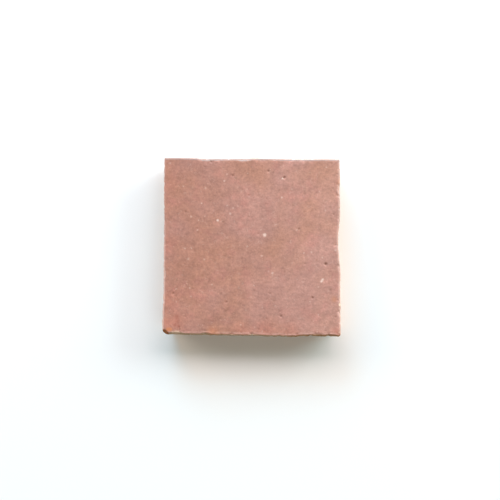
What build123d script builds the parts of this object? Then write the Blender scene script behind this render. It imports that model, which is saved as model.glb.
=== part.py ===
"""Zellige tile: one square of unglazed fired clay, cut by hand, lying on its back with the face up.

The tile is a single solid. Its face is a little uneven and its four edges stray from straight, as a hand
cut leaves them. Under the face a narrow lip stands upright enough for two tiles to meet edge to edge.
Below the lip a chisel has knocked the sides back, scar beside scar, so that the back is smaller than the
face and the mortar has room. The arris round the face is worn, two corners are chipped and a few nicks
have broken out of the edges.

Millimetres. +X runs along the near edge, +Y to the far edge and +Z out of the face. The origin is the
middle of the back.
"""

import os
from math import cos, hypot, pi, radians, sin
from random import Random

from build123d import *

# Size of the tile. The face is uneven, so the thickness is that of its highest spot.
FACE_WIDTH = 100.0
FACE_DEPTH = 100.0
THICKNESS = 12.0

# Section of an edge, from the face down: worn arris, lip, chiselled undercut, eased foot of the back.
ARRIS_WIDTH = 1.0
ARRIS_DROP = 1.0
LIP_HEIGHT = 2.2
UNDERCUT = 2.8
FOOT_EASE = 0.6

# The edges stray in full at the widest outline, and by these shares where the back and the face end.
BACK_STRAY = 0.4
ARRIS_STRAY = 0.5

# Waves of the face: their height from trough to crest, their length, and for each wave its share of the
# height, the way it runs and its phase, both in degrees.
FACE_WAVE_HEIGHT = 0.35
FACE_WAVE_LENGTH = 78.0
FACE_WAVES = ((0.6, 20.0, 30.0), (0.4, 128.0, 115.0))
FACE_GRID_STEPS = 12

# Chisel scars along each side: their spacing, the roundness of one scar, how deep it bites at the back and
# how far a blow leans from upright. A scar starts under the lip. No two blows are alike, so their places,
# heights, roundness and depths vary by this share.
SCAR_PITCH = 9.5
SCAR_RADIUS = 14.0
SCAR_BITE = 1.2
SCAR_LEAN = 16.0
SCAR_VARIATION = 0.45
SCAR_SEED = 4

# Chips at two corners: the side that starts there, how far the chip reaches along that side and along the
# side before it, and how deep it breaks. The lower part of a chip is steep: it starts at this share of the
# reaches and leans back by this angle.
CHIPS = (
    ("near", 4.6, 3.6, 2.7),
    ("right", 1.8, 1.6, 2.0),
)
CHIP_STEEP_SHARE = 0.3
CHIP_STEEP_LEAN = 15.0

# The sides in order round the tile, seen from above and anticlockwise from the near left corner. Each has
# the stray of its first corner from a true square (across, along) and the strays of its edge, outwards,
# as pairs of share along the side and millimetres. The cutter's hand left all of these.
SIDES = {
    "near": {
        "corner": (-0.1, 0.5),
        "strays": ((0.22, 0.23), (0.39, 0.25), (0.53, 0.42), (0.68, 0.65), (0.85, 0.42), (0.95, 0.05)),
    },
    "right": {
        "corner": (0.7, -0.1),
        "strays": ((0.18, 0.1), (0.35, 0.15), (0.5, -0.8), (0.72, 0.2), (0.82, 0.05), (0.91, 0.4)),
    },
    "far": {
        "corner": (-0.85, 0.35),
        "strays": ((0.1, 0.1), (0.22, -0.15), (0.48, 0.25), (0.69, -0.25), (0.92, 0.2)),
    },
    "left": {
        "corner": (0.05, 0.4),
        "strays": ((0.15, 0.1), (0.42, -0.2), (0.6, -0.05), (0.8, -0.05), (0.94, 0.4)),
    },
}

# Nicks broken out of the arris: side, share along it, length on the edge and depth past the arris.
NICKS = (
    ("near", 0.075, 6.3, 0.3),
    ("near", 0.24, 4.0, 0.3),
    ("near", 0.945, 5.0, 0.15),
    ("right", 0.13, 3.6, 0.3),
    ("right", 0.83, 4.4, 0.3),
    ("far", 0.55, 7.0, 0.35),
    ("far", 0.76, 8.0, 0.4),
    ("left", 0.36, 5.0, 0.3),
    ("left", 0.66, 3.8, 0.25),
)

# How far a cutting tool reaches past the clay.
CLEAR = 3.0

WIDEST_Z = THICKNESS - ARRIS_DROP
SIDE_NAMES = tuple(SIDES)


def corner(side, inset):
    """First corner of a side, moved in towards the middle by inset on both axes."""
    east = 1 if side in ("right", "far") else -1
    north = 1 if side in ("far", "left") else -1
    stray_x, stray_y = SIDES[side]["corner"]
    x = east * (FACE_WIDTH / 2 - inset) + stray_x
    y = north * (FACE_DEPTH / 2 - inset) + stray_y
    return Vector(x, y)


def beside(side, steps):
    """The side that lies some steps further round the tile."""
    return SIDE_NAMES[(SIDE_NAMES.index(side) + steps) % len(SIDE_NAMES)]


def side_frame(side, inset=0.0):
    """Start point, length, direction along the side and direction out of it."""
    start = corner(side, inset)
    run = corner(beside(side, 1), inset) - start
    along = run.normalized()
    outward = Vector(along.Y, -along.X)
    return start, run.length, along, outward


def edge_points(side, inset, stray_share):
    """Points of one hand-cut edge, its last corner left to the next side."""
    start, length, along, outward = side_frame(side, inset)
    points = [start]
    for share, stray in SIDES[side]["strays"]:
        points.append(start + along * (share * length) + outward * (stray * stray_share))
    return points


def outline(inset, height, stray_share):
    """Closed outline of the tile at a height, set in from the widest outline."""
    rows = [edge_points(side, inset, stray_share) for side in SIDES]
    edges = []
    for row, after in zip(rows, rows[1:] + rows[:1]):
        lifted = [Vector(point.X, point.Y, height) for point in row + after[:1]]
        edges.append(Edge.make_spline(lifted))
    return Wire(edges)


def wall_inset(height):
    """How far the undercut wall stands in from the widest outline at a height."""
    return UNDERCUT * (1 - height / WIDEST_Z)


def blank():
    """The cut square with its undercut sides, eased foot and worn arris, left tall for the face."""
    top = THICKNESS + CLEAR
    top_inset = ARRIS_WIDTH * (top - WIDEST_Z) / ARRIS_DROP
    sections = [
        outline(wall_inset(0) + FOOT_EASE, 0, BACK_STRAY),
        outline(wall_inset(FOOT_EASE), FOOT_EASE, BACK_STRAY),
        outline(0, WIDEST_Z, 1),
        outline(top_inset, top, ARRIS_STRAY),
    ]
    return Part(Solid.make_loft(sections, ruled=True).wrapped)


def face_height(x, y):
    """Height of the uneven face at a point."""
    swell = 0
    for share, heading, phase in FACE_WAVES:
        travel = x * cos(radians(heading)) + y * sin(radians(heading))
        swell += share * sin(2 * pi * travel / FACE_WAVE_LENGTH + radians(phase))
    return THICKNESS - FACE_WAVE_HEIGHT * (1 - swell) / 2


def above_face():
    """Everything over the uneven face, which the smoothing board took off."""
    half_x = FACE_WIDTH / 2 + CLEAR
    half_y = FACE_DEPTH / 2 + CLEAR
    ticks = [2 * i / FACE_GRID_STEPS - 1 for i in range(FACE_GRID_STEPS + 1)]
    rows = []
    for u in ticks:
        rows.append([Vector(half_x * u, half_y * v, face_height(half_x * u, half_y * v)) for v in ticks])
    skin = Face.make_surface_from_array_of_points(rows)
    return extrude(skin, amount=2 * CLEAR, dir=(0, 0, 1))


def scar(side, share, lip, radius, bite, lean):
    """One chisel scar: a round bite that starts a lip below the widest outline and is deepest at the back."""
    start, length, along, outward = side_frame(side)
    lip_z = WIDEST_Z - lip
    foot = wall_inset(0) + bite
    rise = Vector(0, 0, lip_z) + outward * (foot - wall_inset(lip_z))
    axis = rise.normalized().rotate(Axis((0, 0, 0), tuple(outward)), lean)
    tool_centre = start + along * (share * length) + outward * (radius * rise.length / lip_z - foot)
    return Plane(origin=tool_centre, z_dir=axis) * Cylinder(radius, 2 * (THICKNESS + radius))


def scars():
    """The row of scars along every side, blow after blow."""
    hand = Random(SCAR_SEED)

    def varied(value):
        return value * (1 + SCAR_VARIATION * hand.uniform(-1, 1))

    cuts = []
    for side in SIDES:
        count = max(1, round(side_frame(side)[1] / SCAR_PITCH))
        for i in range(count):
            share = (i + 0.5 + SCAR_VARIATION * hand.uniform(-1, 1)) / count
            lean = SCAR_LEAN * hand.uniform(-1, 1)
            cuts.append(scar(side, share, varied(LIP_HEIGHT), varied(SCAR_RADIUS), varied(SCAR_BITE), lean))
    return cuts


def half_space(point, normal, size):
    """A block that stands on a point and reaches away along the normal."""
    block = Box(size, size, size, align=(Align.CENTER, Align.CENTER, Align.MIN))
    return Plane(origin=point, z_dir=normal) * block


def corner_chip(side, reach, reach_before, drop):
    """Two breaks off the first corner of a side: a slope off the face and a steep one down the corner."""
    tip = corner(side, 0)
    ahead = side_frame(side)[2] * reach
    behind = side_frame(beside(side, -1))[2] * -reach_before
    up = Vector(0, 0, 1)
    slope = (ahead + up * drop).cross(behind + up * drop).normalized()
    level = Vector(slope.X, slope.Y).normalized()
    steep = radians(CHIP_STEEP_LEAN)
    size = 4 * max(reach, reach_before, drop)
    steep_spot = tip + ahead * CHIP_STEEP_SHARE + up * (THICKNESS - drop)
    return [
        half_space(tip + up * (THICKNESS - drop), slope, size),
        half_space(steep_spot, level * cos(steep) + up * sin(steep), size),
    ]


def nick(side, share, length, depth):
    """A shell-shaped break: a ball bites the arris at 45 degrees, as far into the face as down the side."""
    start, run, along, outward = side_frame(side)
    bow = length**2 / (8 * depth) + depth / 2
    away = bow - depth - ARRIS_WIDTH
    edge = start + along * (share * run) + Vector(0, 0, THICKNESS - FACE_WAVE_HEIGHT / 2)
    return Pos(edge + (outward + Vector(0, 0, 1)) * away) * Sphere(hypot(away, bow))


def zellige_tile():
    """The whole tile, with its box centred over the origin and its back on the ground."""
    breaks = scars()
    for spot in CHIPS:
        breaks += corner_chip(*spot)
    breaks += [nick(*spot) for spot in NICKS]
    tile = blank() - above_face()
    for broken_off in breaks:
        tile -= broken_off
    box = tile.bounding_box()
    middle = box.center()
    return Pos(-middle.X, -middle.Y, -box.min.Z) * tile


os.makedirs("parts", exist_ok=True)
export_step(zellige_tile(), "parts/zellige_tile.step")
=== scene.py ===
import math

import bpy
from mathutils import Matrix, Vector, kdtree


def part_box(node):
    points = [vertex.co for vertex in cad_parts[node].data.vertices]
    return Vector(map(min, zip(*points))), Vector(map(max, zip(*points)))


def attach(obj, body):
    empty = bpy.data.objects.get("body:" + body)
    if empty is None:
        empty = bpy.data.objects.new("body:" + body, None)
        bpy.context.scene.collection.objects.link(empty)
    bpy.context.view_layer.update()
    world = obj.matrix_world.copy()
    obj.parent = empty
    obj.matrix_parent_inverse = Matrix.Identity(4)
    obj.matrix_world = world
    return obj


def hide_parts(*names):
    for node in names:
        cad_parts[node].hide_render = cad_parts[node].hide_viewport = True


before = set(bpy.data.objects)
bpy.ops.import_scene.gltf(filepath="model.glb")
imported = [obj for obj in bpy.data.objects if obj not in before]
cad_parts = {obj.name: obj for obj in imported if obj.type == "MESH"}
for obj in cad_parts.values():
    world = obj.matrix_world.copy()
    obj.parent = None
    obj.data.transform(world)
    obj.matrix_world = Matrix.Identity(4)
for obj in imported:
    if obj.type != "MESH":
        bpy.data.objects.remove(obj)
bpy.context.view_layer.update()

# The tile: one slab of low-fired clay, rolled out, smoothed on its face with a wet board and fired, then
# cut square with a sharp hammer and knocked back under its face with a chisel. It starts as a fine grid
# with its edges drawn down to the back, and is then pulled tight over the solid and roughened.
MM = 0.001
FACE_CELLS = 236
ARRIS_STEPS = 4
SIDE_STEPS = 22
ARRIS_WIDTH = 1.0 * MM
ARRIS_DROP = 1.0 * MM
UNDERCUT = 2.8 * MM
FOOT_EASE = 0.6 * MM

low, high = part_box("zellige_tile")
half_x = (high.x - low.x) / 2
half_y = (high.y - low.y) / 2
widest_z = high.z - ARRIS_DROP

# How far in and how high each loop of the section lies, from the face down to the back.
section = [(ARRIS_WIDTH, high.z)]
for step in range(1, ARRIS_STEPS + 1):
    share = step / ARRIS_STEPS
    section.append((ARRIS_WIDTH * (1 - share), high.z - ARRIS_DROP * share))
for step in range(1, SIDE_STEPS + 1):
    share = step / SIDE_STEPS
    section.append((UNDERCUT * share, widest_z + (low.z + FOOT_EASE - widest_z) * share))
section.append((UNDERCUT + FOOT_EASE, low.z))

bpy.ops.object.select_all(action="DESELECT")
bpy.ops.mesh.primitive_grid_add(x_subdivisions=FACE_CELLS, y_subdivisions=FACE_CELLS, size=2)
tile = bpy.context.object
tile.name = "clay_tile"
bpy.ops.object.mode_set(mode="EDIT")
bpy.ops.mesh.select_all(action="SELECT")
bpy.ops.transform.resize(value=(half_x - ARRIS_WIDTH, half_y - ARRIS_WIDTH, 1))
bpy.ops.transform.translate(value=(0, 0, high.z))
bpy.ops.mesh.region_to_loop()
for (last_inset, last_z), (inset, z) in zip(section, section[1:]):
    bpy.ops.mesh.extrude_edges_move(TRANSFORM_OT_translate={"value": (0, 0, z - last_z)})
    narrowing = ((half_x - inset) / (half_x - last_inset), (half_y - inset) / (half_y - last_inset), 1)
    bpy.ops.transform.resize(value=narrowing, center_override=(0, 0, z))
bpy.ops.mesh.fill_grid()
bpy.ops.mesh.select_all(action="SELECT")
bpy.ops.mesh.normals_make_consistent(inside=False)
bpy.ops.object.mode_set(mode="OBJECT")


def finished(kind, **settings):
    """Adds a modifier to the tile, sets it and applies it."""
    modifier = tile.modifiers.new(kind.lower(), kind)
    for name, value in settings.items():
        setattr(modifier, name, value)
    bpy.ops.object.modifier_apply(modifier=modifier.name)


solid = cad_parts["zellige_tile"]
finished("SHRINKWRAP", target=solid, wrap_method="NEAREST_SURFACEPOINT")
finished("SMOOTH", factor=0.5, iterations=4)
finished("SHRINKWRAP", target=solid, wrap_method="NEAREST_SURFACEPOINT")


def seen_from_above(lowest, highest):
    """The tile's vertices between two heights, sorted by their places seen from above."""
    tree = kdtree.KDTree(len(tile.data.vertices))
    for vertex in tile.data.vertices:
        if lowest < vertex.co.z < highest:
            tree.insert((vertex.co.x, vertex.co.y, 0), vertex.index)
    tree.balance()
    return tree


outline = seen_from_above(widest_z - 0.8 * MM, widest_z + 0.15 * MM)
top = seen_from_above(widest_z - 4 * MM, high.z + MM)


def ramp(value, start, end):
    """0 up to start, 1 from end on, and a straight rise between them."""
    return min(max((value - start) / (end - start), 0), 1)


def side(vertex):
    """The side of the tile that a vertex is nearest to."""
    gaps = {
        "near": half_y + vertex.co.y,
        "far": half_y - vertex.co.y,
        "left": half_x + vertex.co.x,
        "right": half_x - vertex.co.x,
    }
    return min(gaps, key=gaps.get)


def rim(vertex, full, end):
    """1 from the widest outline to a full width inside it, 0 from the end width on.

    Down the side it fades out under the lip.
    """
    height = ramp(vertex.co.z, widest_z - 2.4 * MM, widest_z - 0.6 * MM)
    if height == 0:
        return 0
    gap = outline.find((vertex.co.x, vertex.co.y, 0))[2]
    return height * ramp(end - gap, 0, end - full)


def broken(vertex):
    """The sides, the arris, the chips and the nicks: wherever the clay is not smooth."""
    return ramp(1 - vertex.normal.z, 0.05, 0.35) * ramp(vertex.normal.z, -0.95, -0.6)


def torn(vertex):
    """The steep parts of the breaks, where raw clay shows."""
    return ramp(1 - vertex.normal.z, 0.4, 0.65) * ramp(vertex.normal.z, -0.95, -0.6)


def chiselled(vertex):
    """The sides under the lip, where the chisel tore the clay."""
    return broken(vertex) * ramp(widest_z - vertex.co.z, 0.5 * MM, 3 * MM)


def face(vertex):
    """The smoothed face, up to its worn rim."""
    return ramp(vertex.normal.z, 0.8, 0.97) * (1 - rim(vertex, 0.5 * MM, 2 * MM))


def back(vertex):
    """The back, which lay on sand."""
    return ramp(-vertex.normal.z, 0.8, 0.95)


# How far each edge has crumbled, how far its arris is rounded off, and how far wear has taken its skin. The
# far edge is nearly whole for a stretch from the left corner.
WEAR = {
    "near": (1.0, 0.0, 0.0),
    "far": (0.6, 1.0, 1.0),
    "left": (0.4, 0.0, 0.0),
    "right": (1.0, 0.5, 0.2),
    "whole": (0.15, 0.0, 0.0),
}
WHOLE_END = -31 * MM


def wear(vertex):
    """The wear of the edge that a vertex is nearest to."""
    name = side(vertex)
    return WEAR["whole" if name == "far" and vertex.co.x < WHOLE_END else name]


def crumbled(vertex):
    """The band round the face where the arris has crumbled."""
    return wear(vertex)[0] * rim(vertex, 1.0 * MM, 2.4 * MM)


def rounded(vertex):
    """The rim of the face where wear has rounded it off."""
    return wear(vertex)[1] * rim(vertex, 0, 1.4 * MM)


def worn(vertex):
    """The rim of the face where wear has taken its skin."""
    return wear(vertex)[2] * rim(vertex, 0.6 * MM, 1.2 * MM)


def darkened_whole_arris(vertex):
    """The arris that is still whole, painted darker."""
    return rim(vertex, 0.7 * MM, 1.2 * MM) if wear(vertex) == WEAR["whole"] else 0


def rim_highlight_and_wear(vertex):
    """Where the rim of the face is paler: painted light on the side arrises, wear along the near edge.

    Painted light on the left arris, most of all at its near end, and on the right one; wear along the near
    edge.
    """
    name = side(vertex)
    if name == "left":
        near_end = ramp(-vertex.co.y, -15 * MM, 10 * MM)
        return rim(vertex, 0.6 * MM, 1.1 * MM) * (0.25 + 0.75 * near_end)
    if name == "right":
        return 0.7 * rim(vertex, 0.7 * MM, 1.4 * MM) * ramp(vertex.co.y, -55 * MM, -35 * MM)
    if name == "near":
        return 0.4 * rim(vertex, 1.6 * MM, 2.2 * MM) * (1 - rim(vertex, 0.9 * MM, 1.2 * MM))
    return 0


def near_arris(vertex):
    """The arris of the near edge, with the top of the side under it."""
    return ramp(-vertex.normal.y, 0.2, 0.5) * ramp(vertex.co.z, widest_z - 3 * MM, widest_z - MM)


# Where along the near arris the dust comes and goes, and where the brown of the kiln comes.
DUST_COMES = (-47.5 * MM, -46 * MM)
DUST_GOES = (18 * MM, 26 * MM)
BROWN_COMES = (20 * MM, 28 * MM)


def dusty(vertex):
    """The near arris from its left end on, which sand has turned olive."""
    return near_arris(vertex) * ramp(vertex.co.x, *DUST_COMES) * (1 - ramp(vertex.co.x, *DUST_GOES))


def browned(vertex):
    """The near arris at its right end, which the kiln has turned brown."""
    return near_arris(vertex) * ramp(vertex.co.x, *BROWN_COMES)


# How far the painted shade reaches from the two near corners.
LEFT_SHADE_REACH = 6.5 * MM
RIGHT_SHADE_REACH = 3 * MM


def shaded_chips(vertex):
    """The chips of the two near corners, painted dark as painted shade. The right one is small."""
    outward = math.copysign(1, vertex.co.x)
    reach = LEFT_SHADE_REACH if outward < 0 else RIGHT_SHADE_REACH
    gap = math.hypot(vertex.co.x - outward * half_x, vertex.co.y + half_y)
    facing = ramp(outward * vertex.normal.x, 0.1, 0.3) * ramp(-vertex.normal.y, 0.1, 0.3)
    height = ramp(vertex.co.z, widest_z - 5 * MM, widest_z - 3 * MM)
    return facing * ramp(reach - gap, 0, 1.5 * MM) * height


# Stretches of two edges that are set back a little, in millimetres: where along the edge their middles lie,
# how wide they are to each side, and how strong. Along the edge they fade over this share of that width.
NEAR_DENTS = ((3.0, 6.0, 0.5), (33.5, 9.0, 1.0))
RIGHT_DENTS = ((5.0, 9.0, 0.8), (-24.0, 9.0, 0.8))
DENT_FADE = 0.6


def dented(dents, along, inside, height):
    """How strongly a spot is set back, by its place along an edge, inside it and above the back."""
    strongest = 0
    for middle, width, force in dents:
        from_end = width * MM - abs(along - middle * MM)
        strongest = max(strongest, force * ramp(from_end, 0, DENT_FADE * width * MM))
    return strongest * ramp(8 * MM - inside, 0, 5 * MM) * ramp(height, 3 * MM, 8 * MM)


def near_dents(vertex):
    """The stretches of the near edge that are set back."""
    return dented(NEAR_DENTS, vertex.co.x, half_y + vertex.co.y, vertex.co.z)


def right_dents(vertex):
    """The stretches of the right edge that are set back."""
    return dented(RIGHT_DENTS, vertex.co.y, half_x - vertex.co.x, vertex.co.z)


# Spots on the face, in millimetres from its middle: right, far, how wide to each side, and how strong.
PITS = (
    (17.9, 39.6, 1.0, 1.0), (41.7, -9.1, 1.2, 1.0), (8.9, 43.1, 0.9, 0.7), (34.4, -28.2, 1.0, 0.8),
    (16.6, -38.8, 1.0, 0.7), (-14.5, -31.0, 1.1, 0.6), (-44.4, -26.4, 1.0, 0.6), (-11.2, 40.6, 0.9, 0.6),
    (-37.9, 19.8, 1.0, 0.5), (45.9, 19.1, 0.9, 0.5), (26.5, 10.5, 0.9, 0.5), (10.3, -26.0, 0.9, 0.5),
    (-23.6, 48.3, 1.0, 0.6), (-2.3, 29.4, 0.9, 0.4), (3.2, 7.7, 0.9, 0.4), (5.9, 17.0, 0.9, 0.4),
    (-17.6, -40.5, 0.9, 0.4), (-37.6, -39.3, 0.9, 0.4), (29.7, -9.0, 0.9, 0.4), (47.5, -39.1, 0.8, 0.4),
    (-40.7, -46.6, 0.8, 0.8), (-40.9, -45.4, 0.7, 0.7),
)
# Pale grains; the one at 16.9, 39.1 is a painted highlight on the lit rim of the pit beside it.
PALE_SPECKS_AND_PIT_HIGHLIGHT = (
    (-19.6, 15.2, 1.0, 1.0), (7.0, 7.1, 1.5, 1.0), (40.2, -17.7, 1.0, 0.7), (39.2, -19.1, 1.0, 0.7),
    (16.9, 39.1, 0.8, 0.9), (-12.5, 19.0, 1.0, 0.6), (11.6, -14.4, 1.1, 0.6), (16.6, 28.4, 0.9, 0.6),
    (-27.0, -7.0, 0.9, 0.5), (-16.1, 37.5, 0.9, 0.6), (47.3, -1.2, 1.2, 0.5), (-28.8, 24.8, 0.9, 0.5),
    (33.6, -2.3, 1.0, 0.45), (39.7, -5.5, 1.0, 0.45), (-36.2, -6.7, 1.5, 0.35), (22.2, 33.1, 1.0, 0.3),
    (39.7, -18.4, 1.0, 0.6),
)
REDDENED = (
    (-47.5, -30.0, 9.0, 0.9), (-43.0, -42.0, 7.0, 1.0), (-48.0, 2.0, 7.0, 0.8), (-48.0, 35.0, 7.0, 0.6),
    (-6.0, -48.0, 8.0, 0.9), (8.0, -48.0, 10.0, 1.0), (22.0, -47.0, 8.0, 0.8), (48.0, -47.5, 4.0, 1.0),
    (-47.8, -43.0, 4.0, 0.9),
)
STAINS = (
    (-42.3, -39.5, 2.0, 0.7), (-42.0, -42.0, 2.2, 0.6), (-43.4, -44.1, 1.5, 0.9), (-41.2, -44.8, 1.5, 0.9),
)
ORANGE_BREAKS = (
    (-47.4, -46.6, 1.6, 0.9), (-45.9, -46.6, 1.6, 0.9), (-22.0, -48.0, 6.0, 0.4), (49.0, 37.0, 4.0, 0.3),
    (46.9, -29.0, 3.5, 0.35),
)
# Pale clay where the near and right edges broke, and a painted highlight on the upper edge of the
# near-right chip at 49.5, -47.7.
PALE_BREAKS_AND_HIGHLIGHTS = (
    (-44.4, -48.3, 1.3, 0.6), (-42.9, -48.3, 1.3, 0.9), (-41.6, -48.3, 1.3, 0.8), (49.9, -32.0, 1.2, 0.8),
    (49.5, -47.7, 0.8, 0.7),
)


def weighted(name, weight_of):
    """Adds a vertex group to the tile, with the vertices that have a weight."""
    group = tile.vertex_groups.new(name=name)
    for vertex in tile.data.vertices:
        weight = weight_of(vertex)
        if weight > 0:
            group.add([vertex.index], weight, "REPLACE")


def spotted(name, spots):
    """Adds a vertex group to the tile for spots that fade towards their rims."""
    group = tile.vertex_groups.new(name=name)
    for right, far, width, force in spots:
        for _, index, gap in top.find_range((right * MM, far * MM, 0), width * MM):
            group.add([index], force * (1 - gap / (width * MM)), "ADD")


for part in (
    broken, torn, chiselled, face, back, crumbled, rounded, worn, darkened_whole_arris, rim_highlight_and_wear, dusty, browned, shaded_chips,
    near_dents, right_dents,
):
    weighted(part.__name__, part)
spotted("pits", PITS)
spotted("specks", PALE_SPECKS_AND_PIT_HIGHLIGHT)
spotted("reddened", REDDENED)
spotted("stains", STAINS)
spotted("orange", ORANGE_BREAKS)
spotted("pale", PALE_BREAKS_AND_HIGHLIGHTS)


def roughened(group, depth, grain, kind="CLOUDS", steps=2, level=0.75, cut=None):
    """Roughens a part of the tile by grains: how deep, how wide, and the level that stays put."""
    pattern = bpy.data.textures.new(group, kind)
    pattern.noise_scale = grain
    if kind == "CLOUDS":
        pattern.noise_depth = steps
    if cut:
        pattern.use_color_ramp = True
        stops = pattern.color_ramp.elements
        stops[0].position, stops[1].position = cut
        stops[0].color = (1, 1, 1, 1)
        stops[1].color = (0, 0, 0, 1)
    settings = {"texture": pattern, "texture_coords": "LOCAL", "mid_level": level}
    finished("DISPLACE", vertex_group=group, strength=depth, **settings)


roughened("chiselled", 1.0 * MM, 5 * MM, steps=3)
roughened("chiselled", 0.5 * MM, 3.5 * MM, kind="VORONOI", level=0.85)
roughened("broken", 0.22 * MM, 1.1 * MM, level=0.65)
roughened("crumbled", 0.4 * MM, 2.6 * MM, level=1, cut=(0.55, 0.78))
roughened("face", 0.1 * MM, 9 * MM)
roughened("face", 0.05 * MM, 1.2 * MM, steps=3)
roughened("face", 0.12 * MM, 0.9 * MM, steps=1, level=1, cut=(0.72, 0.85))
roughened("back", 0.8 * MM, 6 * MM, steps=3)
roughened("back", 0.25 * MM, 1 * MM)

PIT_DEPTH = 0.45 * MM
ROUNDING_DEPTH = 0.25 * MM
DENT_DEPTH = 0.45 * MM
finished("DISPLACE", vertex_group="pits", strength=-PIT_DEPTH, mid_level=0)
finished("DISPLACE", vertex_group="rounded", strength=-ROUNDING_DEPTH, mid_level=0, direction="Z")
finished("DISPLACE", vertex_group="near_dents", strength=DENT_DEPTH, mid_level=0, direction="Y")
finished("DISPLACE", vertex_group="right_dents", strength=-DENT_DEPTH, mid_level=0, direction="X")

# The back is plainer than the rest and keeps only a share of its faces. All is then drawn inside the solid.
BACK_DETAIL = 0.16
bpy.ops.object.mode_set(mode="EDIT")
bpy.ops.mesh.select_all(action="DESELECT")
bpy.ops.object.mode_set(mode="OBJECT")
for polygon in tile.data.polygons:
    polygon.select = polygon.normal.z < -0.8 and polygon.center.z < low.z + 1.5 * MM
bpy.ops.object.mode_set(mode="EDIT")
bpy.ops.mesh.decimate(ratio=BACK_DETAIL)
bpy.ops.object.mode_set(mode="OBJECT")
finished("SHRINKWRAP", target=solid, wrap_method="NEAREST_SURFACEPOINT", wrap_mode="INSIDE")

# The look of the clay reads the weights of each part as an attribute.
for group in tile.vertex_groups:
    tile.data.attributes.new(group.name + "_share", "FLOAT", "POINT")
shares = {group.index: tile.data.attributes[group.name + "_share"].data for group in tile.vertex_groups}
for vertex in tile.data.vertices:
    for member in vertex.groups:
        shares[member.group][vertex.index].value = member.weight
bpy.ops.object.shade_smooth()

# The look of the clay. Its patterns are measured in millimetres on the tile.
clay = bpy.data.materials.new("fired_clay")
clay.use_nodes = True
surface = clay.node_tree.nodes["Principled BSDF"]


def node(kind, sockets, **settings):
    """Adds a node to the clay, sets it up and gives each of its sockets a value or a link."""
    made = clay.node_tree.nodes.new("ShaderNode" + kind)
    for name, value in settings.items():
        setattr(made, name, value)
    for socket, value in sockets.items():
        if isinstance(value, bpy.types.NodeSocket):
            clay.node_tree.links.new(value, made.inputs[socket])
        else:
            made.inputs[socket].default_value = value
    return made


def moved(spot, shift):
    """The same places, shifted, so that two patterns don't fall on each other."""
    return node("VectorMath", {0: spot, 1: shift}, operation="ADD").outputs[0]


def blots(size, detail=2.0, shift=(0, 0, 0)):
    """Cloudy blots about this many millimetres wide, as a value round a half."""
    sockets = {"Vector": moved(place, shift), "Scale": 1 / size, "Detail": detail, "Roughness": 0.6}
    return node("TexNoise", sockets).outputs["Fac"]


def spread(value, start, end, first=0.0, last=1.0):
    """Stretches a value so that start gives the first and end the last, and holds it outside them."""
    sockets = {"Value": value, "From Min": start, "From Max": end, "To Min": first, "To Max": last}
    return node("MapRange", sockets).outputs[0]


def sum_of(first, second, operation="ADD"):
    """Two values added, or joined by another operation."""
    return node("Math", {0: first, 1: second}, operation=operation).outputs[0]


def blend(share, first, second, kind="MIX"):
    """Goes from the first colour to the second by a share."""
    return node("Mix", {0: share, 6: first, 7: second}, data_type="RGBA", blend_type=kind).outputs[2]


def dots(spacing, size, share, shift):
    """Scattered dots: how far apart they lie, how wide they are, and the share of them that is there."""
    cells = node("TexVoronoi", {"Vector": moved(place, shift), "Scale": 1 / spacing})
    ragged = sum_of(cells.outputs["Distance"], spread(blots(0.7, shift=shift), 0.3, 0.7, -0.07, 0.07))
    inside = spread(ragged, size / spacing, 0.6 * size / spacing)
    chance = node("SeparateColor", {0: cells.outputs["Color"]}).outputs[0]
    return sum_of(inside, spread(chance, 1 - share, 1.02 - share), "MULTIPLY")


def share_of(name, pattern=None):
    """How much of a vertex group a spot of the tile has, broken up by a pattern where one is given."""
    share = node("Attribute", {}, attribute_name=name + "_share").outputs["Fac"]
    return sum_of(share, pattern, "MULTIPLY") if pattern else share


ORANGE_BROWN = (0.441, 0.208, 0.146, 1)
MAUVE_PINK = (0.415, 0.208, 0.17, 1)
ROSE = (0.451, 0.198, 0.158, 1)
REDDISH = (0.465, 0.188, 0.135, 1)
STAIN_RED = (0.36, 0.12, 0.085, 1)
# The clay's tone at its left and right sides, with painted shade to the left and painted light and sheen to
# the right.
WARM_LEFT_TONE_AND_SHADE = (0.93, 0.88, 0.85, 1)
PALE_RIGHT_TONE_AND_SHEEN = (1.08, 1.14, 1.17, 1)
PALE_GROG = (0.72, 0.5, 0.42, 1)
# Dark grains, also used as painted shade in the pits.
DARK_GROG_AND_PIT_SHADE = (0.24, 0.11, 0.07, 1)
# A pale pink for painted light on the side arrises and for wear along the near edge.
HIGHLIGHT_AND_WEAR_PINK = (0.64, 0.41, 0.35, 1)
WORN_PINK = (0.31, 0.208, 0.18, 1)
WHOLE_ARRIS_DARK = (0.27, 0.185, 0.165, 1)
RAW_ORANGE = (0.56, 0.26, 0.13, 1)
RAW_BEIGE = (0.57, 0.42, 0.28, 1)
FRESH_ORANGE = (0.585, 0.215, 0.095, 1)
PALE_BEIGE = (0.78, 0.55, 0.41, 1)
OLIVE_DUST = (0.52, 0.39, 0.26, 1)
KILN_BROWN = (0.42, 0.25, 0.13, 1)
# The dark of the near corner chips, which is painted shade.
CHIP_SHADE = (0.32, 0.13, 0.05, 1)
SANDY = (0.5, 0.36, 0.27, 1)

at = node("TexCoord", {}).outputs["Object"]
place = node("VectorMath", {0: at, "Scale": 1 / MM}, operation="SCALE").outputs[0]

skin = blend(spread(blots(24, 1, (4, 8, 0)), 0.36, 0.64, 0.0, 0.8), ORANGE_BROWN, MAUVE_PINK)
skin = blend(spread(blots(8, 2, (5, 1, 0)), 0.5, 0.72, 0.0, 0.7), skin, ROSE)
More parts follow.
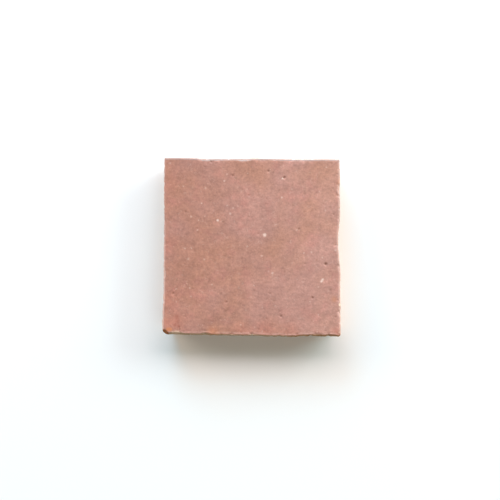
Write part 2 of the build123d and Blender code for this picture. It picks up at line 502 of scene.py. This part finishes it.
# Partly the clay's own tone and partly painted light: the face turns paler and cooler towards the right,
# where the light falls from, and warmer and darker towards the left.
across = node("SeparateXYZ", {0: place}).outputs["X"]
tone_and_light_drift = spread(across, -60, 60)
skin = blend(tone_and_light_drift, blend(1.0, skin, WARM_LEFT_TONE_AND_SHADE, "MULTIPLY"), blend(1.0, skin, PALE_RIGHT_TONE_AND_SHEEN, "MULTIPLY"))
skin = blend(spread(share_of("reddened"), 0.0, 1.0, 0.0, 0.8), skin, REDDISH)
for size, shift, range_of_light in (
    (24, (7, 3, 0), 0.056),
    (9, (2, 6, 0), 0.058),
    (4, (3, 9, 0), 0.065),
    (2, (6, 4, 0), 0.084),
    (1, (1, 5, 0), 0.065),
):
    light = spread(blots(size, 1, shift), 0.3, 0.7, 1 - range_of_light, 1 + range_of_light)
    skin = blend(1.0, skin, light, "MULTIPLY")
trail = spread(sum_of(blots(5, 2, (8, 8, 0)), 0.5, "SUBTRACT"), -0.02, 0.02, -1, 1)
trail = sum_of(1, sum_of(trail, trail, "MULTIPLY"), "SUBTRACT")
trail = sum_of(trail, spread(blots(4, 2, (1, 7, 0)), 0.5, 0.62), "MULTIPLY")
skin = blend(sum_of(trail, 0.16, "MULTIPLY"), skin, PALE_GROG)
skin = blend(sum_of(dots(4.0, 0.7, 0.3, (2, 2, 0)), 0.3, "MULTIPLY"), skin, PALE_GROG)
skin = blend(sum_of(dots(3.6, 0.8, 0.4, (9, 4, 0)), 0.3, "MULTIPLY"), skin, DARK_GROG_AND_PIT_SHADE)
ragged = spread(blots(0.8, 2, (4, 4, 0)), 0.25, 0.75, 0.6, 1.4)
# Painted shade: the pits are darkened in their hollows, in the colour of the dark grains.
skin = blend(spread(share_of("pits", ragged), 0.1, 0.8, 0.0, 0.7), skin, DARK_GROG_AND_PIT_SHADE)
# Pale grains, and one painted highlight beside a pit.
skin = blend(spread(share_of("specks", ragged), 0.1, 0.7), skin, PALE_GROG)
skin = blend(spread(share_of("stains", ragged), 0.1, 0.8, 0.0, 0.8), skin, STAIN_RED)
# Painted light: the left and right arrises are paled; along the near edge a faint line of wear.
skin = blend(spread(share_of("rim_highlight_and_wear"), 0, 1, 0, 0.65), skin, HIGHLIGHT_AND_WEAR_PINK)

raw = blend(spread(blots(5, 4, (8, 1, 0)), 0.35, 0.65), RAW_ORANGE, RAW_BEIGE)
raw = blend(1.0, raw, spread(blots(0.8, 3, (6, 2, 0)), 0.25, 0.75, 0.8, 1.2), "MULTIPLY")
raw = blend(sum_of(dots(2.4, 0.7, 0.4, (5, 7, 0)), 0.5, "MULTIPLY"), raw, PALE_GROG)

patchy = spread(blots(2.5, 3, (2, 8, 0)), 0.3, 0.7, 0.5, 1.5)
colour = blend(spread(share_of("worn", patchy), 0.1, 0.7), skin, WORN_PINK)
# The whole stretch of the far arris is painted darker.
colour = blend(spread(share_of("darkened_whole_arris"), 0.0, 1.0, 0.0, 0.9), colour, WHOLE_ARRIS_DARK)
colour = blend(spread(share_of("torn", patchy), 0.3, 0.7), colour, raw)
colour = blend(spread(share_of("dusty", patchy), 0.1, 0.7, 0.0, 0.9), colour, OLIVE_DUST)
colour = blend(spread(share_of("browned", patchy), 0.1, 0.7, 0.0, 0.9), colour, KILN_BROWN)
colour = blend(spread(share_of("orange"), 0.1, 0.6, 0.0, 0.8), colour, FRESH_ORANGE)
# Pale breaks, and a painted highlight on the edge of the near-right chip.
colour = blend(spread(share_of("pale", ragged), 0.1, 0.6, 0.0, 0.9), colour, PALE_BEIGE)
# Painted shade: the chips of the two near corners are darkened.
colour = blend(spread(share_of("shaded_chips", patchy), 0.2, 0.7), colour, CHIP_SHADE)
colour = blend(spread(share_of("back", patchy), 0.5, 1.1, 0.0, 0.75), colour, SANDY)
clay.node_tree.links.new(colour, surface.inputs["Base Color"])
clay.node_tree.links.new(spread(blots(1.5, 3), 0.3, 0.7, 0.75, 0.92), surface.inputs["Roughness"])
surface.inputs["Specular IOR Level"].default_value = 0.3
grain = sum_of(blots(0.4, 3), spread(blots(1.4, 2, (1, 5, 0)), 0, 1, 0, 2))
bump = node("Bump", {"Height": grain, "Strength": 0.4, "Distance": 0.05 * MM})
clay.node_tree.links.new(bump.outputs["Normal"], surface.inputs["Normal"])
tile.data.materials.append(clay)
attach(tile, "root")
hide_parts("zellige_tile")

# The floor that the tile lies on: a plain sheet of matte white, which reaches a little past the lights. It
# isn't part of the tile.
FLOOR_SIZE = 5.0
FLOOR_WHITE = (0.88, 0.88, 0.88, 1)
bpy.ops.object.select_all(action="DESELECT")
bpy.ops.mesh.primitive_plane_add(size=FLOOR_SIZE, location=(0, 0, low.z))
floor = bpy.context.object
floor.name = "floor"
white = bpy.data.materials.new("white_floor")
white.use_nodes = True
white_surface = white.node_tree.nodes["Principled BSDF"]
white_surface.inputs["Base Color"].default_value = FLOOR_WHITE
white_surface.inputs["Roughness"].default_value = 0.9
white_surface.inputs["Specular IOR Level"].default_value = 0.1
floor.data.materials.append(white)

# The light: a wide window beyond the far edge, low windows and a sunlit wall to the sides of it, a lamp in
# front and a warm room all round. Each light is given by its direction in degrees, its width, height, watts
# and colour. A camera sees the room as plain white.
LIGHT_DISTANCE = 2.0
LIGHTS = {
    "window": (10, 25, 3.0, 1.4, 68.5, (1.0, 0.9, 0.925)),
    "left_window": (-20, 15, 1.2, 0.7, 41, (0.18, 0.68, 1.0)),
    "left_wall": (-60, 14, 1.2, 0.7, 30, (0.96, 0.88, 0.77)),
    "right_window": (60, 14, 1.2, 0.7, 42, (0.82, 1.0, 1.0)),
    "lamp": (140, 40, 1.5, 1.5, 9.2, (0.88, 1.0, 0.97)),
}
ROOM_COLOUR = (0.19, 0.145, 0.1, 1)
ROOM_SEEN = (1, 1, 1, 1)
for name, (azimuth, elevation, width, height, watts, tint) in LIGHTS.items():
    turn = math.radians(azimuth)
    rise = math.radians(elevation)
    reach = LIGHT_DISTANCE * math.cos(rise)
    position = (reach * math.sin(turn), reach * math.cos(turn), LIGHT_DISTANCE * math.sin(rise))
    bpy.ops.object.light_add(type="AREA", location=position, rotation=(rise - math.radians(90), 0, -turn))
    panel = bpy.context.object
    panel.name = name
    panel.data.shape = "RECTANGLE"
    panel.data.size = width
    panel.data.size_y = height
    panel.data.energy = watts
    panel.data.color = tint

world = bpy.data.worlds.new("room")
bpy.context.scene.world = world
world.use_nodes = True
room = world.node_tree.nodes["Background"]
room.inputs["Color"].default_value = ROOM_COLOUR
seen = world.node_tree.nodes.new("ShaderNodeBackground")
seen.inputs["Color"].default_value = ROOM_SEEN
ray = world.node_tree.nodes.new("ShaderNodeLightPath")
either = world.node_tree.nodes.new("ShaderNodeMixShader")
world.node_tree.links.new(ray.outputs["Is Camera Ray"], either.inputs[0])
world.node_tree.links.new(room.outputs[0], either.inputs[1])
world.node_tree.links.new(seen.outputs[0], either.inputs[2])
world.node_tree.links.new(either.outputs[0], world.node_tree.nodes["World Output"].inputs["Surface"])

# The camera looks straight down on the face. Its frame is this wide there, with its middle beside the
# tile's own, and turned by a touch, in degrees, so that the tile lies as it does in the photo.
LENS = 80.0
SENSOR = 36.0
FRAME_WIDTH = 282.6 * MM
FRAME_MIDDLE = (-1.19 * MM, -1.43 * MM)
FRAME_TURN = 0.43
bpy.ops.object.camera_add(location=(*FRAME_MIDDLE, high.z + FRAME_WIDTH * LENS / SENSOR))
camera = bpy.context.object
camera.rotation_euler = (0, 0, math.radians(FRAME_TURN))
camera.data.lens = LENS
camera.data.sensor_width = SENSOR
bpy.context.scene.camera = camera
bpy.context.scene.view_settings.view_transform = "Standard"
